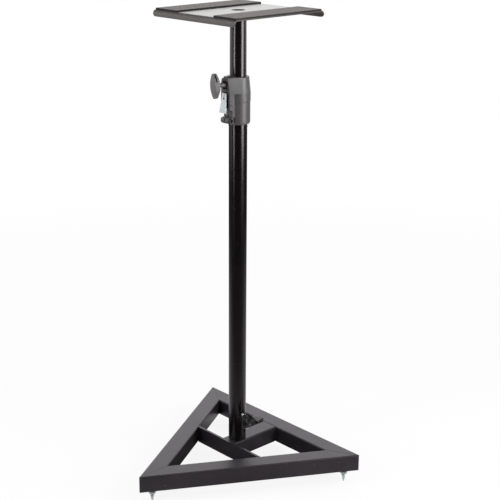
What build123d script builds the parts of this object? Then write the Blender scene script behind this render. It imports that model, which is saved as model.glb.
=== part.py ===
from build123d import *
import math
import os

os.makedirs("parts", exist_ok=True)

# Millimetres. Z points up from the floor, and the origin lies on the floor under the pole's axis.
# The base triangle's back rail runs along X on the +Y side, and its apex points to -Y.

# Base frame: rectangular steel tube, mitred at three corners
frame_side = 457.2
rail_width = 38.0
rail_height = 35.0
rail_wall = 2.0
rail_corner = 3.0
rail_inner_corner = 1.0
frame_corner = 3.0
frame_corner_crease = 0.03
crossbar_thickness = 5.0
stem_overhang = 6.0

# Spikes under the corners
ground_gap = 29.0
spike_thread = 8.0
spike_cone_height = 14.0
spike_tip = 1.6
spike_inside = 12.0
spike_outset = 4.0
weld_nut_height = 6.5
jam_nut_height = 4.0
m8_nut_flats = 13.0

# Pole, and the stub that it stands over
pole_diameter = 36.0
pole_wall = 1.2
pole_length = 742.5
stub_wall = 2.0
stub_height = 85.0

# Mast that slides in the pole
mast_diameter = 32.4
mast_wall = 1.5
mast_foot_gap = 43.0
mast_travel_steps = 7
mast_hole_pitch = 63.5
mast_hole_diameter = 5.8

# Platform
platform_length = 228.6
platform_depth = 228.0
platform_thickness = 2.5
platform_height = 952.5
lip_depth = 12.5
lip_bend = 8.0
lip_corner = 6.5
platform_hole = 26.0
pad_width = 62.0
pad_thickness = 3.0
pad_inset = 1.0
pad_overhang = 2.5
hub_flange_diameter = 50.0
hub_flange_thickness = 3.0
hub_spigot_length = 30.0
hub_recess_diameter = 22.0
hub_recess_depth = 9.5
platform_bolt_thread = 10.0
platform_bolt_length = 42.0
m10_head_flats = 17.0
m10_head_height = 6.4
m10_washer_diameter = 20.0
m10_washer_thickness = 2.0
mast_plug_length = 15.0
guide_flange_height = 10.0
guide_spigot_length = 20.0

# Clutch body, clamped round the top of the pole
clutch_height = 91.5
clutch_cover = 70.0
clutch_bottom_radius = 23.7
clutch_waist_radius = 24.3
clutch_top_radius = 21.5
clutch_waist_height = 61.0
clutch_groove_height = 43.0
clutch_groove_depth = 0.5
clutch_groove_width = 1.2
clutch_chamfer = 3.0
clutch_lip = 4.0
head_width = 19.0
head_reach = 35.0
head_height = 31.0
head_rise = 3.0
head_shoulder = 7.0
screw_drop = 13.0
head_pocket_radius = 7.8
head_pocket_depth = 8.0
head_pocket_drop = 9.0
head_pocket_play = 1.5
channel_width = 25.0
channel_reach = 32.6
channel_slot_width = 17.0
channel_slot_depth = 8.5
clamp_boss_diameter = 12.6
clamp_boss_reach = 29.0
clamp_boss_height = 9.0
clamp_boss_width = 21.0
clamp_slit = 2.4
finger_arch_radius = 15.0
slot_sill = 3.0
slot_headroom = 1.2

# Clutch screw and its wing
clutch_thread = 6.0
clutch_insert_diameter = 10.0
clutch_pad_diameter = 8.0
clutch_pad_thickness = 2.4
bush_height = 15.0
bush_slit = 2.0
clutch_wing_start = 52.5
clutch_wing_hub = 16.5
clutch_wing_depth = 11.5
clutch_wing_span = 47.5
clutch_wing_tip = 4.0
clutch_wing_sweep = 3.6
clutch_wing_rim = 2.2
clutch_wing_web = 3.0
clutch_wing_neck = 9.0
clutch_wing_tilt = 5.0
clutch_wing_core = 7.4
clutch_wing_edge = 1.2
clutch_wing_bow = 0.8
clutch_wing_socket = 6.9

# Latch
latch_pin_diameter = 5.0
latch_pin_drop = 18.0
latch_arm = 13.0
latch_pivot_reach = 29.5
latch_pivot_diameter = 3.0
lever_top_width = 11.5
lever_waist_width = 12.5
lever_waist_drop = 14.0
lever_bottom_width = 20.0
lever_height = 38.0
lever_top_rise = 10.5
lever_top_reach = 35.6
lever_bottom_reach = 40.2
lever_sheet = 1.2
lever_ear_gap = 5.6
lever_ear_below = 5.0
lever_ear_above = 4.0
lever_ear_back = 3.0
lever_keyhole = 4.0
lever_slit = 1.0
fork_slot = 3.4
fork_play = 0.8
pin_neck = 2.6
pin_hook = 4.4
pin_tip = 3.8
spring_wire = 0.8
spring_coil_radius = 2.6
spring_turns = 3.5
spring_leg = 7.0
spring_elbow = 0.5

# Clamp screw through the clutch body
clamp_screw_thread = 6.0
clamp_head_diameter = 10.0
clamp_head_height = 6.0
m6_nut_flats = 10.0
m6_nut_height = 5.0
clamp_socket_flats = 5.0
clamp_sink = 3.0
clamp_slit_rise = 4.0

# Liner in the pole's top end, and its rivets
liner_length = 86.0
rivet_head = 6.0
rivet_shank = 3.2
rivet_rise = 1.3
rivet_dome_inset = 0.6
rivet_angle = 23.0
rivet_count = 2
rivet_below_clutch = 5.0

# Wing bolt at the foot of the pole
foot_bolt_rise = 61.0
foot_bolt_angle = -14.0
foot_bolt_thread = 6.0
foot_nut_length = 5.0
foot_wing_gap = 15.0
foot_wing_neck = 10.0
foot_wing_neck_length = 7.0
foot_wing_width = 18.0
foot_wing_length = 33.0
foot_wing_thickness = 13.0
foot_wing_end_thickness = 5.6
foot_wing_flare = 15.0
foot_wing_fin = 4.4
foot_wing_rim = 2.4
foot_wing_web = 3.0
foot_wing_scoop = 10.0
foot_wing_roll = 14.0
foot_wing_edge = 1.6
foot_wing_socket = 9.0
foot_wing_skin = 2.0
# Along the wing, as shares of its length
foot_wing_tip_low = 0.86
foot_wing_tip_high = 0.93
foot_wing_pocket_low = 0.12
foot_wing_pocket_high = 0.74
foot_wing_scoop_centre = 1.12

# Clearances, each measured on the radius or on one side
running_clearance = 0.06
seat_clearance = 0.1
free_clearance = 0.4
pin_standoff = 0.35

# Places that follow from the sizes
frame_inradius = frame_side / (2 * math.sqrt(3))
frame_circumradius = 2 * frame_inradius
frame_bottom = ground_gap
frame_top = frame_bottom + rail_height
inner_face = frame_inradius - rail_width
spike_radius = 2 * (frame_inradius - rail_width / 2) + spike_outset
pole_radius = pole_diameter / 2
pole_bore = pole_radius - pole_wall
pole_top = frame_top + pole_length
mast_radius = mast_diameter / 2
mast_bore = mast_radius - mast_wall
platform_underside = platform_height - platform_thickness
mast_top = platform_underside - hub_flange_thickness
mast_bottom = frame_top + stub_height + mast_foot_gap + guide_flange_height
mast_travel = mast_travel_steps * mast_hole_pitch
clutch_bottom = pole_top - clutch_cover
clutch_top = clutch_bottom + clutch_height
screw_height = clutch_top - screw_drop
head_top = clutch_top + head_rise
head_low = clutch_top - head_height
latch_height = pole_top - latch_pin_drop
pivot_height = latch_height - latch_arm
lever_top = latch_height + lever_top_rise
lever_bottom = lever_top - lever_height
clamp_height = clutch_bottom + clamp_boss_height
foot_bolt_height = frame_top + foot_bolt_rise
stem_front = -(pole_radius + stem_overhang)
insert_front = head_reach - head_pocket_depth
insert_back = pole_radius + clutch_pad_thickness + seat_clearance * 2
fork_back = latch_pivot_reach + 1
slot_back = clutch_waist_radius + 1
past_front = head_reach + clutch_waist_radius
lever_lean = math.atan2(lever_bottom_reach - lever_top_reach, lever_height)


def save(shape, name):
    export_step(shape, f"parts/{name}.step")


def cylinder(radius, low, high):
    """Upright cylinder on the pole's axis."""
    return Pos(0, 0, (low + high) / 2) * Cylinder(radius, high - low)


def ring(outer, inner, low, high):
    return cylinder(outer, low, high) - cylinder(inner, low, high)


def rod(start, end, radius):
    """Cylinder between two points."""
    direction = Vector(*end) - Vector(*start)
    return extrude(Plane(start, z_dir=direction) * Circle(radius), direction.length)


def slab(low, high):
    """Box between two opposite corners."""
    size = [high[i] - low[i] for i in range(3)]
    middle = [(high[i] + low[i]) / 2 for i in range(3)]
    return Pos(*middle) * Box(*size)


def prism(plane, points, depth):
    """Straight-sided solid from an outline on a plane, along the plane's normal."""
    return extrude(plane * Polygon(*points, align=None), depth, dir=tuple(plane.z_dir))


def hexagon(flats, low, high):
    """Upright hex prism with its corners turned off a little."""
    corner = flats / 2 / math.cos(math.pi / 6)
    sides = extrude(Pos(0, 0, low) * RegularPolygon(corner, 6), high - low)
    return sides & cylinder(corner * 0.985, low, high)


def radial(shape, height, angle):
    """Turn a shape made on the Z axis so that it points outwards at this angle and height."""
    return Pos(0, 0, height) * Rot(0, 0, angle) * Rot(0, 90, 0) * shape


def spike_places():
    """Corner angles of the base, apex first, with the name of each corner."""
    return [("apex", -90), ("right", 30), ("left", 150)]


# Base frame


def rail_section():
    outer = RectangleRounded(rail_width, rail_height, rail_corner)
    inner = RectangleRounded(rail_width - 2 * rail_wall, rail_height - 2 * rail_wall, rail_inner_corner)
    return outer - inner


def spike_holes():
    holes = [
        Rot(0, 0, angle) * Pos(spike_radius, 0, 0)
        * cylinder(spike_thread / 2 + free_clearance, frame_bottom - 1, frame_bottom + rail_wall + 1)
        for name, angle in spike_places()
    ]
    return holes


def corner_trim(angle):
    """What is ground off one sharp outer corner of the triangle to round it."""
    middle = frame_circumradius - 2 * frame_corner
    touch_x = middle + frame_corner / 2
    touch_y = frame_corner * math.sqrt(3) / 2
    outline = [(touch_x, touch_y), (touch_x + 1, touch_y + 1), (frame_circumradius + 1, 0),
               (touch_x + 1, -touch_y - 1), (touch_x, -touch_y), (middle, 0)]
    low = frame_bottom - 1
    wedge = prism(Plane.XY.offset(low), outline, rail_height + 2)
    wedge -= Pos(middle, 0, 0) * cylinder(frame_corner + frame_corner_crease, low, frame_top + 1)
    return Rot(0, 0, angle) * wedge


def rail(angle):
    """One mitred side of the triangle, with half of the spike hole at each end."""
    middle = Plane((-frame_side / 2, frame_inradius - rail_width / 2, frame_bottom + rail_height / 2),
                   x_dir=(0, 1, 0), z_dir=(1, 0, 0))
    tube = extrude(middle * rail_section(), frame_side)
    sector = prism(Plane.XY, [(0, 0), (frame_side, frame_inradius * 2), (-frame_side, frame_inradius * 2)],
                   frame_top + 1)
    side = tube & sector
    for hole in spike_holes():
        side -= hole
    name, corner = spike_places()[-1]
    for end in range(2):
        side = mirror(side - corner_trim(corner), Plane.YZ)
    return Rot(0, 0, angle) * side


def crossbar():
    """Flat bar on edge between the two front rails, just before the stem tube."""
    def half_width(y):
        return (inner_face + y / 2) / math.cos(math.pi / 6)
    back = stem_front
    front = stem_front - crossbar_thickness
    outline = [(-half_width(back), back), (half_width(back), back),
               (half_width(front), front), (-half_width(front), front)]
    return prism(Plane.XY.offset(frame_bottom), outline, rail_height)


def stem_tube():
    middle = Plane((0, stem_front, frame_bottom + rail_height / 2), x_dir=(1, 0, 0), z_dir=(0, 1, 0))
    return extrude(middle * rail_section(), inner_face - stem_front)


def base_frame():
    save(rail(0), "base_rail_back")
    save(rail(-120), "base_rail_right")
    save(rail(120), "base_rail_left")
    save(crossbar(), "base_crossbar")
    save(stem_tube(), "base_stem_tube")
    stub_radius = pole_bore - seat_clearance
    save(ring(stub_radius, stub_radius - stub_wall, frame_top, frame_top + stub_height), "base_stub")


def spikes():
    nut_bore = spike_thread / 2 + running_clearance
    weld_low = frame_bottom - weld_nut_height
    jam_low = weld_low - jam_nut_height
    weld_nuts = []
    jam_nuts = []
    for name, angle in spike_places():
        place = Rot(0, 0, angle) * Pos(spike_radius, 0, 0)
        bore = cylinder(nut_bore, jam_low - 1, frame_bottom + 1)
        weld_nuts.append(place * (hexagon(m8_nut_flats, weld_low, frame_bottom) - bore))
        jam_nuts.append(place * Rot(0, 0, 15) * (hexagon(m8_nut_flats, jam_low, weld_low) - bore))
        cone = Pos(0, 0, spike_cone_height / 2) * Cone(spike_tip / 2, spike_thread / 2, spike_cone_height)
        shank = cylinder(spike_thread / 2, spike_cone_height, frame_bottom + spike_inside)
        save(place * (cone + shank), f"spike_{name}")
    save(Compound(weld_nuts), "spike_weld_nuts")
    save(Compound(jam_nuts), "spike_jam_nuts")


# Pole


def rivet_angles():
    return [rivet_angle + 360 / rivet_count * i for i in range(rivet_count)]


def rivet_height():
    return clutch_bottom - rivet_below_clutch


def pole():
    tube = ring(pole_radius, pole_bore, frame_top, pole_top)
    tube -= radial(cylinder(foot_bolt_thread / 2 + free_clearance, 0, pole_diameter),
                   foot_bolt_height, foot_bolt_angle)
    tube -= radial(cylinder(latch_pin_diameter / 2 + running_clearance, 0, pole_diameter), latch_height, -90)
    for angle in rivet_angles():
        tube -= radial(cylinder(rivet_shank / 2 + running_clearance, 0, pole_diameter), rivet_height(), angle)
    save(tube, "pole")


def liner():
    """Thin plastic sleeve that guides the mast in the pole's top end."""
    outer = pole_bore - running_clearance
    inner = mast_radius + running_clearance
    sleeve = ring(outer, inner, pole_top - liner_length, pole_top)
    sleeve -= radial(cylinder(latch_pin_diameter / 2 + running_clearance, 0, pole_diameter), latch_height, -90)
    for angle in rivet_angles():
        sleeve -= radial(cylinder(rivet_shank / 2 + running_clearance, 0, pole_diameter), rivet_height(), angle)
    save(sleeve, "pole_liner")
    rivets = []
    for angle in rivet_angles():
        shank = cylinder(rivet_shank / 2, inner + free_clearance, pole_radius + rivet_rise / 2)
        dome = Pos(0, 0, pole_radius - rivet_dome_inset) * Sphere(rivet_head / 2)
        head = dome & cylinder(rivet_head / 2, pole_radius - rivet_dome_inset, pole_radius + rivet_rise)
        head -= Rot(0, -90, 0) * cylinder(pole_radius, -rivet_head, rivet_head)
        rivets.append(radial(shank + head, rivet_height(), angle))
    save(Compound(rivets), "liner_rivets")


# Wings of the two hand screws, made on the Z axis with the stud coming out at the origin


def clutch_handle():
    """Two-lobed wing: a lens-shaped blade across a round neck, each lobe scooped on one side."""
    half = clutch_wing_span / 2
    rise = (clutch_wing_hub - clutch_wing_tip) / 2
    bulge = (half * half + rise * rise) / (2 * rise)
    shift = bulge - clutch_wing_hub / 2
    lens = (Pos(0, -shift) * Circle(bulge)) & (Pos(0, shift) * Circle(bulge))
    lens &= Rectangle(clutch_wing_span, clutch_wing_hub)
    blade = extrude(lens, clutch_wing_depth)
    blade = fillet(blade.edges().filter_by(Axis.Z), clutch_wing_edge)
    reach = half - clutch_wing_rim
    for way in (-1, 1):
        pocket = slab((clutch_wing_core, -clutch_wing_hub, clutch_wing_sweep + clutch_wing_rim),
                      (reach - 1, -clutch_wing_web / 2, clutch_wing_depth - clutch_wing_rim))
        blade -= Rot(0, 0, 90 + 90 * way) * pocket
    core = clutch_wing_hub / 2
    profile = [(-half, clutch_wing_sweep), (-core, 0), (core, 0), (half, clutch_wing_sweep),
               (half, clutch_wing_depth - clutch_wing_bow), (core, clutch_wing_depth), (-core, clutch_wing_depth),
               (-half, clutch_wing_depth - clutch_wing_bow)]
    blade &= prism(Plane.XZ.offset(-clutch_wing_hub), profile, clutch_wing_hub * 2)
    neck_length = clutch_wing_start - head_reach + head_pocket_depth - head_pocket_play
    handle = blade + cylinder(clutch_wing_neck / 2, -neck_length, clutch_wing_depth / 2)
    stud_hole = cylinder(clutch_thread / 2 + seat_clearance, -neck_length - 1, clutch_wing_socket)
    return handle - stud_hole


def foot_handle():
    """Wing along the screw's axis: a pocketed middle that thins outwards, with a fin flaring out on each side."""
    half = foot_wing_width / 2
    length = foot_wing_length
    middle = Pos(0, 0, length / 2) * Box(foot_wing_width, foot_wing_thickness, length)
    middle = fillet(middle.edges().filter_by(Axis.Z), foot_wing_edge)
    tip = half + foot_wing_flare
    tip_low = length * foot_wing_tip_low
    tip_high = length * foot_wing_tip_high
    skin = foot_wing_skin
    fins = prism(Plane.XZ.offset(-foot_wing_fin / 2),
                 [(-half + skin / 2, 0), (half - skin / 2, 0), (half, skin), (tip, tip_low), (tip, tip_high),
                  (half, length), (-half, length), (-tip, tip_high), (-tip, tip_low), (-half, skin)], foot_wing_fin)
    root = foot_wing_thickness / 2
    end = foot_wing_end_thickness / 2
    taper = prism(Plane.YZ.offset(-tip), [(-root, 0), (root, 0), (end, length), (-end, length)], 2 * tip)
    body = (middle + fins) & taper
    scoop = Rot(90, 0, 0) * Cylinder(foot_wing_scoop, foot_wing_thickness * 2)
    body -= Pos(0, 0, length * foot_wing_scoop_centre) * scoop
    pocket_low = length * foot_wing_pocket_low
    pocket_high = length * foot_wing_pocket_high
    for face in (-1, 1):
        pocket = slab((-half + foot_wing_rim, foot_wing_web / 2, pocket_low),
                      (half - foot_wing_rim, foot_wing_thickness, pocket_high))
        body -= Rot(0, 0, 90 - 90 * face) * pocket
    body += cylinder(foot_wing_neck / 2, -foot_wing_neck_length, foot_wing_socket + skin)
    return body - cylinder(foot_bolt_thread / 2 + seat_clearance, -foot_wing_neck_length - 1, foot_wing_socket)


# Clutch body and what it carries


def clutch_shell():
    """The round part of the body, before its bores are cut."""
    groove = clutch_bottom + clutch_groove_height
    waist = clutch_bottom + clutch_waist_height
    low_radius = clutch_bottom_radius
    groove_floor = low_radius - clutch_groove_depth
    groove_top = groove + clutch_groove_width
    outline = Polygon(
        (0, clutch_bottom), (low_radius - clutch_chamfer * 0.6, clutch_bottom),
        (low_radius, clutch_bottom + clutch_chamfer), (low_radius, groove), (groove_floor, groove),
        (groove_floor, groove_top), (clutch_waist_radius, groove_top), (clutch_waist_radius, waist),
        (clutch_top_radius, clutch_top - 1), (clutch_top_radius - 1, clutch_top), (0, clutch_top), align=None)
    return revolve(Plane.XZ * outline, Axis.Z)


def head_outline(half, reach, radius, height):
    """Plan of the head at one height: a front edge, and sides that run on to the round body as tangents."""
    away = math.hypot(half, reach)
    turn = math.acos(radius / away) - math.atan2(reach, half)
    side_x = radius * math.cos(turn)
    side_y = radius * math.sin(turn)
    return Pos(0, 0, height) * Polygon((-half, -reach), (half, -reach), (side_x, side_y), (0, 0),
                                       (-side_x, side_y), align=None)


def clutch_head():
    """Block for the hand screw, drafted to widen downwards, with a low crown along its top."""
    half = head_width / 2
    wide = channel_width / 2
    block = loft([head_outline(wide, channel_reach, clutch_waist_radius, head_low),
                  head_outline(half, head_reach, clutch_top_radius, clutch_top)], ruled=True)
    crown_radius = (half * half + head_rise * head_rise) / (2 * head_rise)
    crown = rod((0, 0, head_top - crown_radius), (0, -head_reach, head_top - crown_radius), crown_radius)
    crown &= slab((-half, -head_reach, head_top - head_rise - 1), (half, 0, head_top))
    head = block + crown
    # The far top edge is rounded over.
    corner = head_shoulder
    round_off = slab((-half - corner, -head_reach - 1, clutch_top - corner), (-half + corner, 0, head_top + 1))
    round_off -= rod((-half + corner, -head_reach - 1, clutch_top - corner),
                     (-half + corner, 0, clutch_top - corner), corner)
    round_off &= slab((-head_reach, -head_reach - 1, clutch_top - corner), (-half + corner, -clutch_top_radius,
                                                                            head_top + 1))
    return head - round_off - cylinder(mast_radius + free_clearance, head_low, head_top + 1)


def clutch_body():
    shell = clutch_shell()
    head = clutch_head()
    channel_low = clamp_height + clamp_boss_diameter / 2
    channel = slab((-channel_width / 2, -channel_reach, channel_low), (channel_width / 2, 0, head_low))
    boss_half = clamp_boss_width / 2
    boss = rod((-boss_half, -clamp_boss_reach, clamp_height), (boss_half, -clamp_boss_reach, clamp_height),
               clamp_boss_diameter / 2)
    boss += slab((-boss_half, -clamp_boss_reach, clamp_height - clamp_boss_diameter / 2),
                 (boss_half, 0, clamp_height + clamp_boss_diameter / 2))
    body = shell + head + channel + boss

    # The latch slot runs from the finger arch up into the head's underside.
    slot = channel_slot_width / 2
    body -= slab((-slot, -past_front, channel_low + slot_sill), (slot, -slot_back, lever_top + slot_headroom))
    arch_side = channel_width / 2 + 1
    arch = rod((-arch_side, -channel_reach - 2, channel_low), (arch_side, -channel_reach - 2, channel_low),
               finger_arch_radius)
    body -= arch & slab((-arch_side, -past_front, channel_low), (arch_side, -slot_back, head_low))

    # Bores for the pole, for the split bush above it and for the mast
    body -= cylinder(pole_radius + seat_clearance, clutch_bottom - 1, pole_top + bush_height + seat_clearance)
    body -= cylinder(mast_radius + free_clearance, pole_top, clutch_top + 1)

    # Clamp slit and its screw
    body -= slab((-clamp_slit / 2, -past_front, clutch_bottom - 1), (clamp_slit / 2, 0, channel_low + clamp_slit_rise))
    reach = clamp_boss_reach
    side = channel_width
    body -= rod((-side, -reach, clamp_height), (side, -reach, clamp_height), clamp_screw_thread / 2 + seat_clearance)
    seat = boss_half - clamp_sink
    body -= rod((seat, -reach, clamp_height), (side, -reach, clamp_height), clamp_head_diameter / 2 + free_clearance)
    nut_corner = (m6_nut_flats / 2 + seat_clearance) / math.cos(math.pi / 6)
    body -= extrude(Plane((-seat, -reach, clamp_height), z_dir=(-1, 0, 0)) * RegularPolygon(nut_corner, 6), side)

    # Hand screw: pocket for the wing's neck, insert, pressure pad
    pocket = head_pocket_radius
    body -= rod((0, -head_reach - 1, screw_height), (0, -insert_front, screw_height), pocket)
    body -= slab((-pocket, -head_reach - 1, screw_height - head_pocket_drop), (pocket, -insert_front, screw_height))
    body -= rod((0, -insert_front - 1, screw_height), (0, -insert_back, screw_height),
                clutch_insert_diameter / 2 + running_clearance)
    body -= rod((0, -insert_front, screw_height), (0, -mast_radius, screw_height),
                clutch_pad_diameter / 2 + seat_clearance)

    # Latch pin and lever pivot
    body -= rod((0, -past_front, latch_height), (0, -mast_radius, latch_height),
                latch_pin_diameter / 2 + running_clearance)
    body -= rod((-side, -latch_pivot_reach, pivot_height), (side, -latch_pivot_reach, pivot_height),
                latch_pivot_diameter / 2 + running_clearance)
    save(body, "clutch_body")


def clutch_bush():
    """Split plastic bush that the hand screw squeezes on to the mast."""
    low = pole_top
    high = pole_top + bush_height
    bush = ring(pole_radius, mast_radius + running_clearance, low, high)
    bush -= slab((-bush_slit / 2, 0, low - 1), (bush_slit / 2, pole_diameter, high + 1))
    save(bush, "clutch_bush")


def clutch_screw():
    insert = rod((0, -insert_front, screw_height), (0, -insert_back, screw_height), clutch_insert_diameter / 2)
    insert -= rod((0, -insert_front - 1, screw_height), (0, 0, screw_height), clutch_thread / 2 + running_clearance)
    save(insert, "clutch_insert")

    pad_front = pole_radius + clutch_pad_thickness
    pad = rod((0, -pad_front, screw_height), (0, 0, screw_height), clutch_pad_diameter / 2)
    pad -= cylinder(pole_radius + running_clearance, pole_top, clutch_top)
    save(pad, "clutch_pressure_pad")

    stud_start = pad_front + running_clearance
    stud_end = clutch_wing_start + clutch_wing_socket - running_clearance
    save(rod((0, -stud_start, screw_height), (0, -stud_end, screw_height), clutch_thread / 2), "clutch_stud")
    handle = Rot(0, 0, 90 + clutch_wing_tilt) * clutch_handle()
    save(Pos(0, -clutch_wing_start, screw_height) * Rot(90, 0, 0) * handle, "clutch_wing")


def clamp_screw():
    reach = clamp_boss_reach
    seat = clamp_boss_width / 2 - clamp_sink
    end = seat + m6_nut_height + 1
    screw = rod((-end, -reach, clamp_height), (seat, -reach, clamp_height), clamp_screw_thread / 2)
    screw += rod((seat, -reach, clamp_height), (seat + clamp_head_height, -reach, clamp_height),
                 clamp_head_diameter / 2)
    socket = extrude(Plane((seat + clamp_head_height / 2, -reach, clamp_height), z_dir=(1, 0, 0))
                     * RegularPolygon(clamp_socket_flats / 2 / math.cos(math.pi / 6), 6), clamp_head_height)
    save(screw - socket, "clamp_screw")
    nut = extrude(Plane((-seat, -reach, clamp_height), z_dir=(-1, 0, 0))
                  * RegularPolygon(m6_nut_flats / 2 / math.cos(math.pi / 6), 6), m6_nut_height)
    nut -= rod((-end, -reach, clamp_height), (0, -reach, clamp_height), clamp_screw_thread / 2 + seat_clearance)
    save(nut, "clamp_nut")


def lever_face(height):
    """Distance of the lever's outer face from the pole's axis."""
    return lever_top_reach + (lever_top - height) * math.tan(lever_lean)


def latch_lever():
    """Sheet lever with two ears on the cross pin and a slotted fork behind its face."""
    slant = lever_height / math.cos(lever_lean)
    waist = lever_waist_width / 2
    outline = [(-lever_top_width / 2, 0), (-waist, -lever_waist_drop), (-lever_bottom_width / 2, -slant),
               (lever_bottom_width / 2, -slant), (waist, -lever_waist_drop), (lever_top_width / 2, 0)]
    face = prism(Plane.XZ.offset(-lever_sheet), outline, lever_sheet)
    hole_down = lever_top_rise / math.cos(lever_lean)
    face -= rod((0, -2, -hole_down), (0, 4, -hole_down), lever_keyhole / 2)
    face -= slab((-lever_slit / 2, -2, -hole_down), (lever_slit / 2, 4, 1))
    lever = Pos(0, -lever_top_reach, lever_top) * Rot(-math.degrees(lever_lean), 0, 0) * face
    low = pivot_height - lever_ear_below
    high = latch_height + lever_ear_above
    bite = lever_sheet / 2
    pivot = latch_pivot_reach
    outline = [(-pivot + lever_ear_back, low), (-pivot + lever_ear_back, pivot_height + 2), (-pivot - 1.5, high),
               (-lever_face(high) + bite, high), (-lever_face(low) + bite, low)]
    for start in (-lever_ear_gap / 2 - lever_sheet, lever_ear_gap / 2):
        lever += prism(Plane.YZ.offset(start), outline, lever_sheet)
    side = lever_ear_gap / 2 + lever_sheet / 2
    fork = slab((-side, -fork_back - lever_sheet, latch_height - 4), (side, -fork_back, high))
    fork -= slab((-fork_slot / 2, -pivot - 5, latch_height - fork_slot / 2 - 0.4), (fork_slot / 2, 0, high + 1))
    lever += fork
    lever -= rod((-10, -pivot, pivot_height), (10, -pivot, pivot_height), latch_pivot_diameter / 2 + running_clearance)
    save(lever, "latch_lever")


def latch_pin():
    """Pin that drops into the mast's holes, held by its neck in the lever's fork."""
    tip = mast_radius + pin_standoff
    shoulder = fork_back - fork_play
    hook = fork_back + lever_sheet + fork_play
    pin = rod((0, -tip, latch_height), (0, -tip - 1, latch_height), pin_tip / 2)
    pin += rod((0, -tip - 1, latch_height), (0, -shoulder, latch_height), latch_pin_diameter / 2)
    pin += rod((0, -shoulder, latch_height), (0, -hook, latch_height), pin_neck / 2)
    pin += rod((0, -hook, latch_height), (0, -hook - 1, latch_height), pin_hook / 2)
    save(pin, "latch_pin")


def latch_spring():
    """Torsion spring round the cross pin: one leg by the clutch body, one by the lever's face."""
    pitch = spring_wire * 1.25
    height = pitch * spring_turns
    coil = Helix(pitch, height, spring_coil_radius)
    wire = sweep(Plane(coil @ 0, z_dir=coil % 0) * Circle(spring_wire / 2), path=coil)
    reach = spring_wire / 2 + free_clearance
    floor = latch_pivot_reach - slot_back - reach
    face = lever_face(pivot_height - spring_leg) - lever_sheet / math.cos(lever_lean) - latch_pivot_reach - reach
    start = coil @ 0
    end = coil @ 1
    back_leg = rod(tuple(start), (floor, -spring_leg, start.Z), spring_wire / 2)
    front_leg = rod(tuple(end), (-face, -spring_leg, end.Z), spring_wire / 2)
    elbows = Pos(*start) * Sphere(spring_elbow) + Pos(*end) * Sphere(spring_elbow)
    place = Plane((-height / 2, -latch_pivot_reach, pivot_height), x_dir=(0, 1, 0), z_dir=(1, 0, 0))
    save(place.location * (wire + elbows + back_leg + front_leg), "latch_spring")


def latch():
    latch_lever()
    latch_pin()
    latch_spring()
    half = channel_width / 2
    save(rod((-half, -latch_pivot_reach, pivot_height), (half, -latch_pivot_reach, pivot_height),
             latch_pivot_diameter / 2), "latch_pivot_pin")


# Mast and platform


def mast():
    tube = ring(mast_radius, mast_bore, mast_bottom, mast_top)
    for step in range(mast_travel_steps + 1):
        height = latch_height - step * mast_hole_pitch
        tube -= Pos(0, 0, height) * Rot(90, 0, 0) * Cylinder(mast_hole_diameter / 2, mast_diameter * 2)
    save(tube, "mast")

    plug_high = mast_top - hub_spigot_length - running_clearance
    plug_low = plug_high - mast_plug_length
    save(ring(mast_bore - running_clearance, platform_bolt_thread / 2 + seat_clearance, plug_low, plug_high),
         "mast_top_plug")

    guide_outer = pole_bore - running_clearance
    guide_inner = mast_bore - running_clearance
    flange = cylinder(guide_outer, mast_bottom - guide_flange_height, mast_bottom - running_clearance)
    spigot = cylinder(guide_inner, mast_bottom - running_clearance, mast_bottom + guide_spigot_length)
    guide = flange + spigot
    guide -= cylinder(guide_inner - 3, mast_bottom - guide_flange_height - 1, mast_bottom + guide_spigot_length + 1)
    save(guide, "mast_guide")


def platform():
    half_depth = platform_depth / 2
    inner_bend = lip_bend - platform_thickness
    low = platform_height - lip_depth
    sheet = slab((-platform_length / 2, -half_depth, low), (platform_length / 2, half_depth, platform_height))
    outer_edges = sheet.edges().filter_by(Axis.X).group_by(Axis.Z)[-1]
    sheet = fillet(outer_edges, lip_bend)
    hollow = slab((-platform_length, -half_depth + platform_thickness, low - 20),
                  (platform_length, half_depth - platform_thickness, platform_underside))
    hollow_edges = hollow.edges().filter_by(Axis.X).group_by(Axis.Z)[-1]
    sheet -= fillet(hollow_edges, inner_bend)
    lip_edges = sheet.edges().filter_by(Axis.Y).group_by(Axis.Z)[0]
    sheet = fillet(lip_edges, lip_corner)
    sheet -= cylinder(platform_hole / 2, low, platform_height + 1)
    save(sheet, "platform_plate")

    flange = cylinder(hub_flange_diameter / 2, mast_top, platform_underside)
    hub = flange + cylinder(mast_bore - running_clearance, mast_top - hub_spigot_length, mast_top)
    seat = platform_underside - hub_recess_depth
    hub -= cylinder(hub_recess_diameter / 2, seat, platform_underside + 1)
    hub -= cylinder(platform_bolt_thread / 2 + seat_clearance, mast_top - hub_spigot_length - 1, platform_underside)
    save(hub, "platform_hub")

    washer_top = seat + m10_washer_thickness
    save(ring(m10_washer_diameter / 2, platform_bolt_thread / 2 + free_clearance, seat, washer_top), "platform_washer")
    head = hexagon(m10_head_flats, washer_top, washer_top + m10_head_height)
    bolt = cylinder(platform_bolt_thread / 2, washer_top - platform_bolt_length, washer_top + 1) + head
    save(bolt, "platform_bolt")

    pad_length = platform_depth - 2 * (lip_bend - pad_overhang)
    for name, way in (("left", -1), ("right", 1)):
        outer = platform_length / 2 - pad_inset
        middle = way * (outer - pad_width / 2)
        pad = Pos(middle, 0, platform_height + pad_thickness / 2) * Box(pad_width, pad_length, pad_thickness)
        save(pad, f"platform_pad_{name}")


# Wing bolt at the pole's foot


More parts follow.
